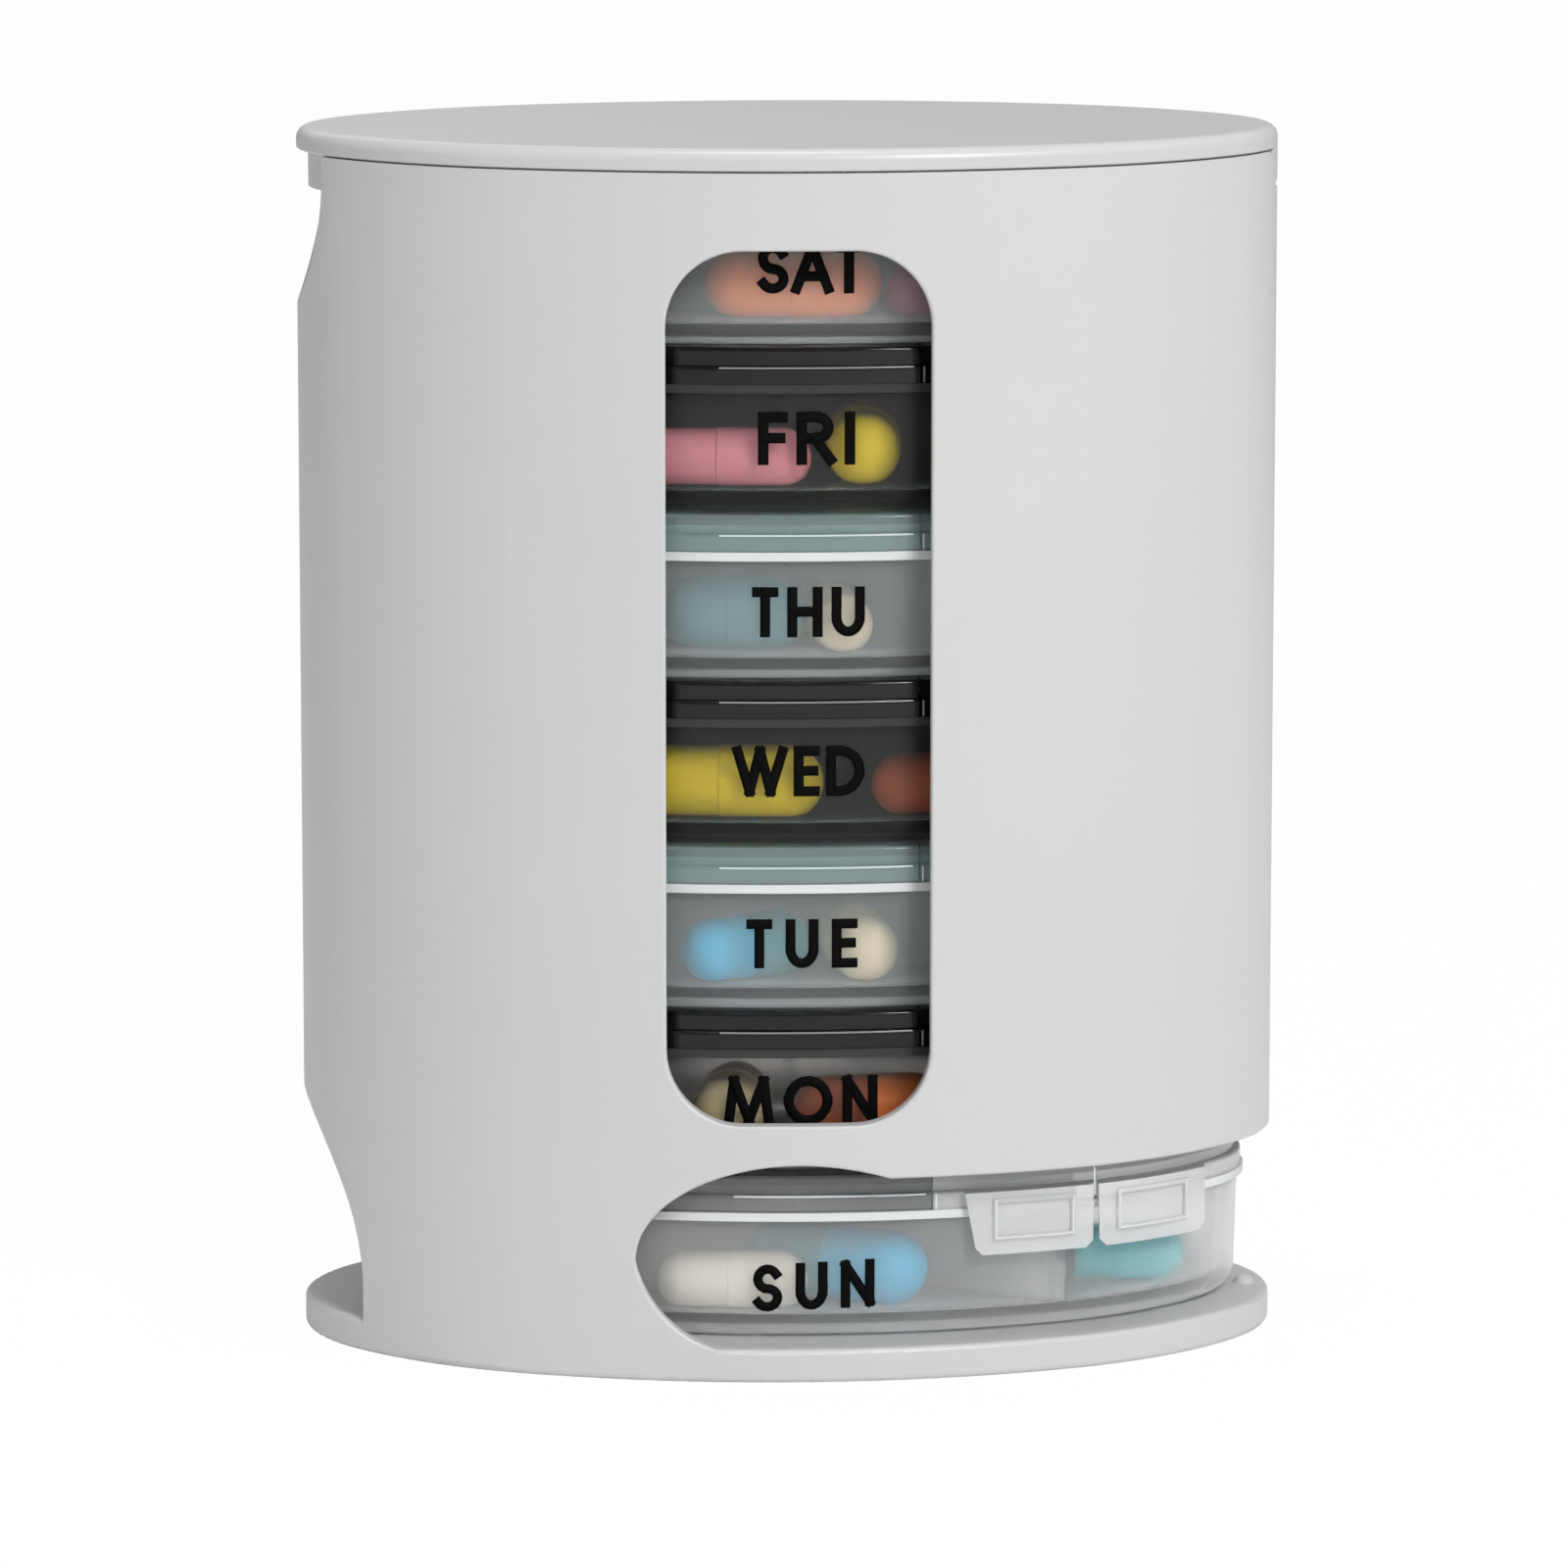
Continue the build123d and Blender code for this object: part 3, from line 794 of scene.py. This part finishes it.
@dataclass
class DayNames:
    """Day names printed in black on the front walls of the cups."""

    ribbons: WallRibbons
    shapes: LetterShapes = field(default_factory=LetterShapes)
    stroke_share: float = 0.2
    ink_thickness: float = 0.05
    ink_sunk: float = 0.02
    foot_inset: float = 5.45
    cup_draft: float = 0.4
    cup_height: float = 14.0

    def strokes(self, tray: Tray) -> list[Stroke]:
        """Set a day name in strokes.

        Args:
            tray: The tray whose name is set.

        Returns:
            Strokes, each a list of points across and up from the tray's middle and foot.
        """
        letters = [self.shapes.strokes(letter) for letter in tray.day.upper()]
        height = tray.name_height
        stroke = height * self.stroke_share
        spare = tray.name_right - tray.name_left - sum(width * height for width, _ in letters)
        gap = spare / (len(letters) - 1)
        left = tray.name_left
        lean = tan(radians(tray.name_tilt))
        laid = []
        for width, strokes in letters:
            span = width * height - stroke
            for points in strokes:
                run = []
                for across, up in points:
                    x = left + stroke / 2 + across * span
                    lift = lean * (x - tray.name_left)
                    run.append((x, tray.name_foot + stroke / 2 + up * (height - stroke) + lift))
                laid.append(run)
            left += width * height + gap
        return laid

    def print_name(self, tray: Tray, ink: bpy.types.Material) -> bpy.types.Object:
        """Print one day name on its cup.

        Args:
            tray: The tray that gets its name.
            ink: The ink's material.

        Returns:
            The printed name as a plain mesh.
        """
        face = tray_face(tray, self.foot_inset, self.cup_draft / self.cup_height)
        width = tray.name_height * self.stroke_share
        return self.ribbons.lay(
            f"{tray.day}_name", self.strokes(tray), face, width, self.ink_thickness, self.ink_sunk, ink
        )


@dataclass
class CoverEdges:
    """Edges of a tray's cover, one along its step and one up its front flap, laid as opaque lines that paint their
    highlights.
    """

    ribbons: WallRibbons
    rim_inset: float = 4.7
    step_start: float = -8.3
    step_end: float = 12.4
    step_level: float = 15.78
    flap_x: float = 13.62
    flap_foot: float = 14.2
    flap_top: float = 15.7
    line_width: float = 0.2
    line_thickness: float = 0.12
    line_sunk: float = 0.05
    stations: int = 24

    def make(self, tray: Tray, material: bpy.types.Material) -> bpy.types.Object:
        """Make the painted highlight lines on the edges of one tray's cover.

        Args:
            tray: The tray.
            material: The edges' finish.

        Returns:
            The edges as a plain mesh.
        """
        face = tray_face(tray, self.rim_inset)
        way = (self.step_end - self.step_start) / self.stations
        step = [(self.step_start + way * number, self.step_level) for number in range(self.stations + 1)]
        upright = [(self.flap_x, self.flap_foot), (self.flap_x, self.flap_top)]
        return self.ribbons.lay(
            f"{tray.day}_cover_edge_highlights", [step, upright], face, self.line_width, self.line_thickness,
            self.line_sunk, material,
        )


@dataclass(frozen=True)
class Frame:
    """The raised frame on a latch tab, by the middles of its lines."""

    left: float
    right: float
    low: float
    high: float

    def strokes(self) -> list[Stroke]:
        """Return its left, lower and right sides as strokes; the top side, where the frame catches less light, gets
        no painted highlight.

        Returns:
            Three strokes, each a list of its two ends.
        """
        corners = [(self.left, self.high), (self.left, self.low), (self.right, self.low), (self.right, self.high)]
        return [[first, second] for first, second in zip(corners, corners[1:])]


@dataclass
class TabFrames:
    """Soft ridges along the raised frames of the front and right latch tabs, in a finish that paints their
    highlights.
    """

    ribbons: WallRibbons
    front: Frame = Frame(20.15, 28.75, 10.8, 14.9)
    right: Frame = Frame(34.0, 41.75, 10.8, 14.9)
    face_inset: float = 3.15
    ridge_width: float = 0.2
    ridge_thickness: float = 0.14
    ridge_sunk: float = 0.06
    stations: int = 10

    def make(self, tray: Tray, side: str, material: bpy.types.Material) -> bpy.types.Object:
        """Make the ridges on the latch tab of one flap.

        Args:
            tray: The tray.
            side: The flap's side, front or right.
            material: The ridges' finish.

        Returns:
            The ridges as a plain mesh.
        """
        face = tray_face(tray, self.face_inset)
        frame = self.front if side == "front" else self.right
        strokes = []
        for (x0, z0), (x1, z1) in frame.strokes():
            shares = [number / self.stations for number in range(self.stations + 1)]
            strokes.append([(x0 + (x1 - x0) * share, z0 + (z1 - z0) * share) for share in shares])
        return self.ribbons.lay(
            f"{tray.day}_tab_ridges_{side}", strokes, face, self.ridge_width, self.ridge_thickness,
            self.ridge_sunk, material,
        )


@dataclass
class CapsuleMaker:
    """Two-piece gelatine capsules: a body and a slightly wider cap that slides over it."""

    cap_share: float = 0.52
    lip: float = 0.14
    lip_radius: float = 0.08
    sides: int = 40
    dome_steps: int = 10
    least_radius: float = 1e-6
    floor: float = 2.2
    inner_inset: float = 6.65
    clearance: float = 0.1
    made: dict[Color, bpy.types.Material] = field(default_factory=dict)

    def half(self, radius: float, start: float, end: float) -> list[tuple[float, float]]:
        """Set out the profile of one closed half, from its dome's pole to its open edge.

        Args:
            radius: The half's radius.
            start: Place of the pole along the capsule.
            end: Place of the open edge along the capsule.

        Returns:
            Pairs of place along the capsule and radius there.
        """
        way = 1 if end > start else -1
        profile = []
        for step in range(self.dome_steps + 1):
            angle = pi / 2 * step / self.dome_steps
            profile.append((start + way * radius * (1 - cos(angle)), radius * sin(angle)))
        profile.append((start + way * (radius + self.lip), radius))
        profile.append((end - way * (self.lip_radius + self.lip), radius))
        profile.append((end - way * self.lip_radius, radius))
        profile.append((end, radius - self.lip_radius))
        profile.append((end, 0.0))
        return profile

    def revolve(self, mesh: bmesh.types.BMesh, profile: list[tuple[float, float]]) -> None:
        """Add the solid of revolution of a profile about X.

        Args:
            mesh: The mesh that gets the faces.
            profile: Pairs of place along X and radius, which starts and ends on the axis.
        """
        rings = []
        for along, radius in profile:
            if radius < self.least_radius:
                rings.append([mesh.verts.new((along * MM, 0, 0))])
                continue
            turns = [2 * pi * side / self.sides for side in range(self.sides)]
            rings.append([
                mesh.verts.new((along * MM, radius * cos(turn) * MM, radius * sin(turn) * MM)) for turn in turns
            ])
        for first, second in zip(rings, rings[1:]):
            for side in range(self.sides):
                after = (side + 1) % self.sides
                corners = [
                    first[side % len(first)], first[after % len(first)],
                    second[after % len(second)], second[side % len(second)],
                ]
                unique = list(dict.fromkeys(corners))
                if len(unique) > 2:
                    mesh.faces.new(unique)

    def wall_y(self, point: Vector, middle: Vector) -> float:
        """Find the depth of the front wall's inner face, less a small clearance, beside a point.

        Args:
            point: A point of a capsule.
            middle: The middle of the tray's foot.

        Returns:
            The least y that the point may have.
        """
        radius = (SIDE_RADIUS - self.inner_inset - self.clearance) * MM
        centre_y = middle.y + SIDE_MIDDLE_Y * MM
        return centre_y - (radius**2 - (point.x - middle.x) ** 2) ** 0.5

    def material(self, color: Color) -> bpy.types.Material:
        """Return the gelatine of that colour, made at its first use.

        Args:
            color: The colour of the gelatine.

        Returns:
            Its material.
        """
        if color not in self.made:
            name = f"gelatine_{len(self.made)}"
            finish = PlasticFinish(name, color, roughness=0.42, specular=0.25, grain_size=0.8, grain_depth=0.002)
            self.made[color] = finish.build()
        return self.made[color]

    def make(self, tray: Tray, number: int, capsule: Capsule) -> bpy.types.Object:
        """Make one capsule in its tray.

        Args:
            tray: The tray that holds it.
            number: Its number in the tray.
            capsule: Its sizes and place.

        Returns:
            The capsule's object.
        """
        low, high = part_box(f"{tray.day}_tray")
        middle = Vector(((low.x + high.x) / 2, (low.y + high.y) / 2, low.z))
        radius = capsule.diameter / 2
        name = f"{tray.day}_capsule_{number}"
        mesh = bpy.data.meshes.new(name)
        build = bmesh.new()
        half_length = capsule.length / 2
        cap_end = half_length - capsule.length * self.cap_share
        self.revolve(build, self.half(radius, half_length, cap_end))
        cap_faces = len(build.faces)
        self.revolve(build, self.half(radius - self.lip, -half_length, half_length - radius))
        build.faces.ensure_lookup_table()
        for place, face in enumerate(build.faces):
            face.smooth = True
            face.material_index = 0 if place < cap_faces else 1
        bmesh.ops.recalc_face_normals(build, faces=build.faces)
        build.transform(
            Matrix.Translation(middle)
            @ Matrix.Translation(Vector((capsule.x, capsule.y, self.floor + radius)) * MM)
            @ Matrix.Rotation(radians(capsule.turn), 4, "Z")
        )
        away = max(self.wall_y(point.co, middle) - point.co.y for point in build.verts)
        if away > 0:
            build.transform(Matrix.Translation((0, away, 0)))
        build.to_mesh(mesh)
        build.free()
        return finish_mesh(mesh, name, self.material(capsule.cap), self.material(capsule.body))


@dataclass
class Organizer:
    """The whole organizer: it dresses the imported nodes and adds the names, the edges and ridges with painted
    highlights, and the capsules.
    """

    nodes: dict[str, bpy.types.Object]
    finishes: Finishes = field(default_factory=Finishes)
    ribbons: WallRibbons = field(default_factory=WallRibbons)
    capsules: CapsuleMaker = field(default_factory=CapsuleMaker)

    def dress(self, node: str, material: bpy.types.Material) -> None:
        """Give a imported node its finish.

        Args:
            node: The node's name.
            material: Its finish.
        """
        piece = self.nodes[node]
        if not piece.material_slots:
            piece.data.materials.append(material)
        for slot in piece.material_slots:
            slot.material = material
        LOG.info("%s has the finish %s", node, material.name)

    def dress_tower(self) -> None:
        """Dress the shell and the lid."""
        self.dress("tower", self.finishes.get(self.finishes.shell))
        self.dress("top_lid", self.finishes.get(self.finishes.lid))

    def dress_tray(self, tray: Tray) -> None:
        """Dress one tray, print its name, add its edges and ridges, and put its capsules in.

        Args:
            tray: The tray.
        """
        self.dress(f"{tray.day}_tray", self.finishes.cup(tray.tone))
        self.dress(f"{tray.day}_deck", self.finishes.deck(tray.tone))
        for side in FLAP_SIDES:
            self.dress(f"{tray.day}_flap_{side}", self.finishes.flap(tray.tone))
        body = "sun_tray" if tray.day == "sun" else "tower"
        ink = self.finishes.get(self.finishes.ink)
        pieces = [
            DayNames(self.ribbons).print_name(tray, ink),
            CoverEdges(self.ribbons).make(tray, self.finishes.edge(tray.tone)),
        ]
        for side in TAB_SIDES:
            pieces.append(TabFrames(self.ribbons).make(tray, side, self.finishes.ridge(tray.tone)))
        for number, capsule in enumerate(tray.capsules, 1):
            pieces.append(self.capsules.make(tray, number, capsule))
        for piece in pieces:
            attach(piece, body)
            LOG.info("%s rides on %s", piece.name, body)

    def build(self) -> None:
        """Dress everything and add the loose pieces."""
        self.dress_tower()
        for tray in TRAYS:
            self.dress_tray(tray)


@dataclass(frozen=True)
class SoftBox:
    """A square lamp that faces the organizer's middle: its place, side length and power in watts."""

    name: str
    place: tuple[float, float, float]
    size: float
    power: float


@dataclass
class Studio:
    """Pale floor, soft light and the camera at the photograph's angle.

    The boxes are the key light at the front right, a weak fill at the left, one light behind and one above.
    """

    boxes: tuple[SoftBox, ...] = (
        SoftBox("key_light", (640.0, -1200.0, 1050.0), 450.0, 16.0),
        SoftBox("fill_light", (-900.0, -700.0, 520.0), 220.0, 0.4),
        SoftBox("back_light", (-350.0, 1150.0, 900.0), 900.0, 1.5),
        SoftBox("top_light", (0.0, -60.0, 1200.0), 320.0, 3.5),
    )
    box_target: tuple[float, float, float] = (0.0, 0.0, 65.0)
    white: tuple[float, float, float, float] = (1.0, 1.0, 1.0, 1.0)
    air_strength: float = 0.32
    floor_half: float = 6000.0
    floor_color: tuple[float, float, float, float] = (0.93, 0.93, 0.93, 1.0)
    floor_glow: float = 0.97
    camera_place: tuple[float, float, float] = (-36.82, -963.31, 214.24)
    camera_turn: tuple[float, float, float] = (80.935, 0.0, -2.189)
    lens: float = 202.3
    sensor: float = 36.0
    shift_across: float = -0.0022
    clip_near: float = 50.0
    clip_far: float = 20000.0

    def floor(self) -> None:
        """Lay the floor, white to the camera but for the organizer's soft shadow."""
        mesh = bpy.data.meshes.new("floor")
        half = self.floor_half * MM
        mesh.from_pydata([(-half, -half, 0), (half, -half, 0), (half, half, 0), (-half, half, 0)], [], [(0, 1, 2, 3)])
        material = bpy.data.materials.new("pale_floor")
        material.use_nodes = True
        material.node_tree.nodes.clear()
        link = Link(material.node_tree)
        matt = link.add("ShaderNodeBsdfDiffuse", {}, {"Color": self.floor_color}).outputs[0]
        glow = link.add("ShaderNodeEmission", {}, {"Color": self.white, "Strength": 1.0}).outputs[0]
        share = link.math("MULTIPLY", link.seen(), self.floor_glow)
        mixed = link.add("ShaderNodeMixShader", {}, {0: share, 1: matt, 2: glow}).outputs[0]
        link.add("ShaderNodeOutputMaterial", {}, {"Surface": mixed})
        finish_mesh(mesh, "floor", material)

    def world(self) -> None:
        """Light the scene evenly from all round, and make the background white to the camera."""
        world = bpy.data.worlds.new("studio_air")
        bpy.context.scene.world = world
        world.use_nodes = True
        world.node_tree.nodes.clear()
        link = Link(world.node_tree)
        seen = link.seen()
        soft, bright = (
            link.add("ShaderNodeBackground", {}, {"Color": self.white, "Strength": strength}).outputs[0]
            for strength in (self.air_strength, 1.0)
        )
        mixed = link.add("ShaderNodeMixShader", {}, {0: seen, 1: soft, 2: bright}).outputs[0]
        link.add("ShaderNodeOutputWorld", {}, {"Surface": mixed})

    def lamp(self, box: SoftBox) -> None:
        """Hang one soft box and turn it to the organizer's middle.

        Args:
            box: The soft box.
        """
        light = bpy.data.lights.new(box.name, "AREA")
        light.energy = box.power
        light.size = box.size * MM
        lamp = bpy.data.objects.new(box.name, light)
        bpy.context.scene.collection.objects.link(lamp)
        lamp.location = Vector(box.place) * MM
        target = Vector(self.box_target) * MM
        lamp.rotation_euler = (target - lamp.location).to_track_quat("-Z", "Y").to_euler()

    def camera(self) -> None:
        """Set the camera at the photograph's viewing angle."""
        data = bpy.data.cameras.new("camera")
        data.lens = self.lens
        data.sensor_width = self.sensor
        data.sensor_fit = "HORIZONTAL"
        data.shift_x = self.shift_across
        data.clip_start = self.clip_near * MM
        data.clip_end = self.clip_far * MM
        camera = bpy.data.objects.new("camera", data)
        bpy.context.scene.collection.objects.link(camera)
        camera.location = Vector(self.camera_place) * MM
        camera.rotation_euler = Euler([radians(turn) for turn in self.camera_turn])
        bpy.context.scene.camera = camera

    def build(self) -> None:
        """Set the stage, the light and the camera."""
        self.floor()
        self.world()
        for box in self.boxes:
            self.lamp(box)
        self.camera()
        bpy.context.scene.view_settings.view_transform = "Standard"


def corners(bounds: tuple[Vector, Vector]) -> list[list[float]]:
    """Turn a box into plain lists of numbers.

    Args:
        bounds: The box's lowest and highest corner.

    Returns:
        The two corners, each a list of its three places.
    """
    return [list(corner) for corner in bounds]


def main() -> None:
    """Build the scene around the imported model."""
    logging.basicConfig(level=logging.INFO, format="%(name)s: %(message)s")
    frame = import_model()
    Organizer(frame["nodes"]).build()
    Studio().build()


if __name__ == "__main__":
    main()
